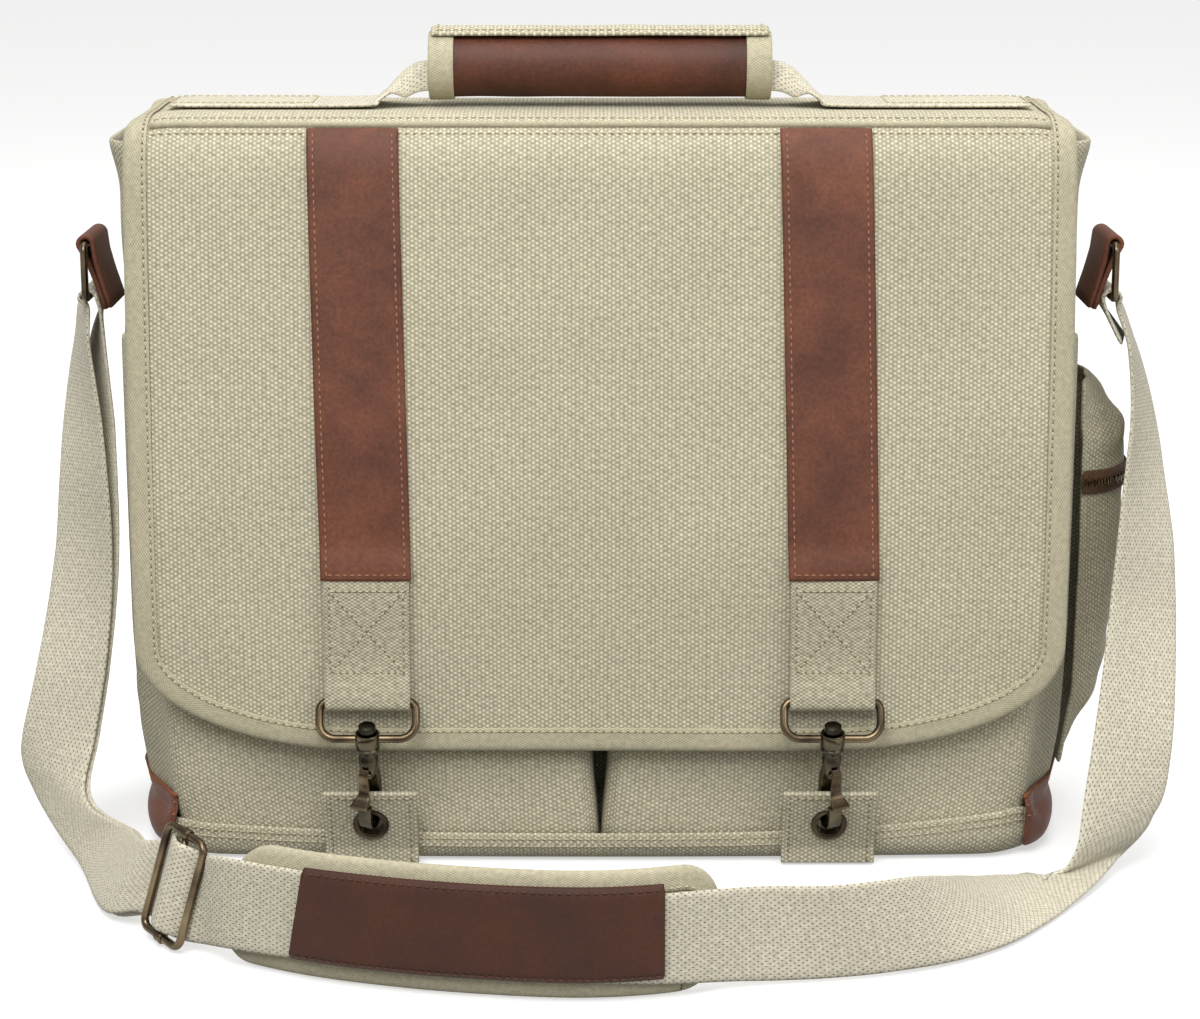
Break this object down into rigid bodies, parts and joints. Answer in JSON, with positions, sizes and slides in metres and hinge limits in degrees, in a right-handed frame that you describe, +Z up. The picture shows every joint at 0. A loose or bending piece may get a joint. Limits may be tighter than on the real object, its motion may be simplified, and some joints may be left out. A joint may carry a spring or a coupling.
{
  "type": "laptop bag",
  "caption": "Flap-over canvas laptop bag with leather straps and swivel snaps, top grip, front pockets, a side pocket and a webbing shoulder strap with a pad.",
  "frame": {"origin": "middle of the flat underside of the base", "axes": "+X to the viewer's right along the bag's width, -Y out of the front, +Z up"},
  "size_m": [0.505, 0.2876, 0.353],
  "materials": {
    "canvas": "coarse stone-coloured canvas",
    "binding": "lighter folded canvas tape",
    "webbing": "pale cotton webbing",
    "leather": "brown grained leather",
    "antique_brass": "dark antiqued",
    "zip_tape": "brown woven tape"
  },
  "bodies": {
    "bag": {"main_body": "canvas", "base": "canvas", "side_pocket": "canvas", "flap": "canvas", "handle_cover": "canvas", "shoulder_pad": "canvas", "front_pocket_left": "canvas", "front_pocket_right": "canvas", "catch_tab_left": "canvas", "catch_tab_right": "canvas", "handle_cuff_left": "canvas", "handle_cuff_right": "canvas", "flap_binding": "binding", "handle_strap": "webbing", "shoulder_strap": "webbing", "webbing_tab_left": "webbing", "webbing_tab_right": "webbing", "handle_grip": "leather", "pad_patch": "leather", "leather_corner_left": "leather", "leather_corner_right": "leather", "flap_strap_left": "leather", "flap_strap_right": "leather", "ring_tab_left": "leather", "ring_tab_right": "leather", "strap_slider": "antique_brass", "side_zip_teeth": "antique_brass", "snap_loop_left": "antique_brass", "snap_loop_right": "antique_brass", "snap_hook_left": "antique_brass", "snap_hook_right": "antique_brass", "eyelet_left": "antique_brass", "eyelet_right": "antique_brass", "side_ring_left": "antique_brass", "side_ring_right": "antique_brass", "side_zip_tape": "zip_tape"},
    "gate_left": {"snap_gate_left": "antique_brass"},
    "gate_right": {"snap_gate_right": "antique_brass"}
  },
  "joints": [
    {"name": "snap_gate_left_hinge", "type": "hinge", "parent": "bag", "child": "gate_left", "pos_m": [-0.09923, -0.07982, 0.04496], "axis": [0.9397, -0.3299, -0.0902], "range_deg": [0, 18], "stiffness_Nm_per_rad": 0.02},
    {"name": "snap_gate_right_hinge", "type": "hinge", "parent": "bag", "child": "gate_right", "pos_m": [0.09923, -0.07982, 0.04496], "axis": [0.9397, 0.3299, 0.0902], "range_deg": [0, 18], "stiffness_Nm_per_rad": 0.02}
  ]
}
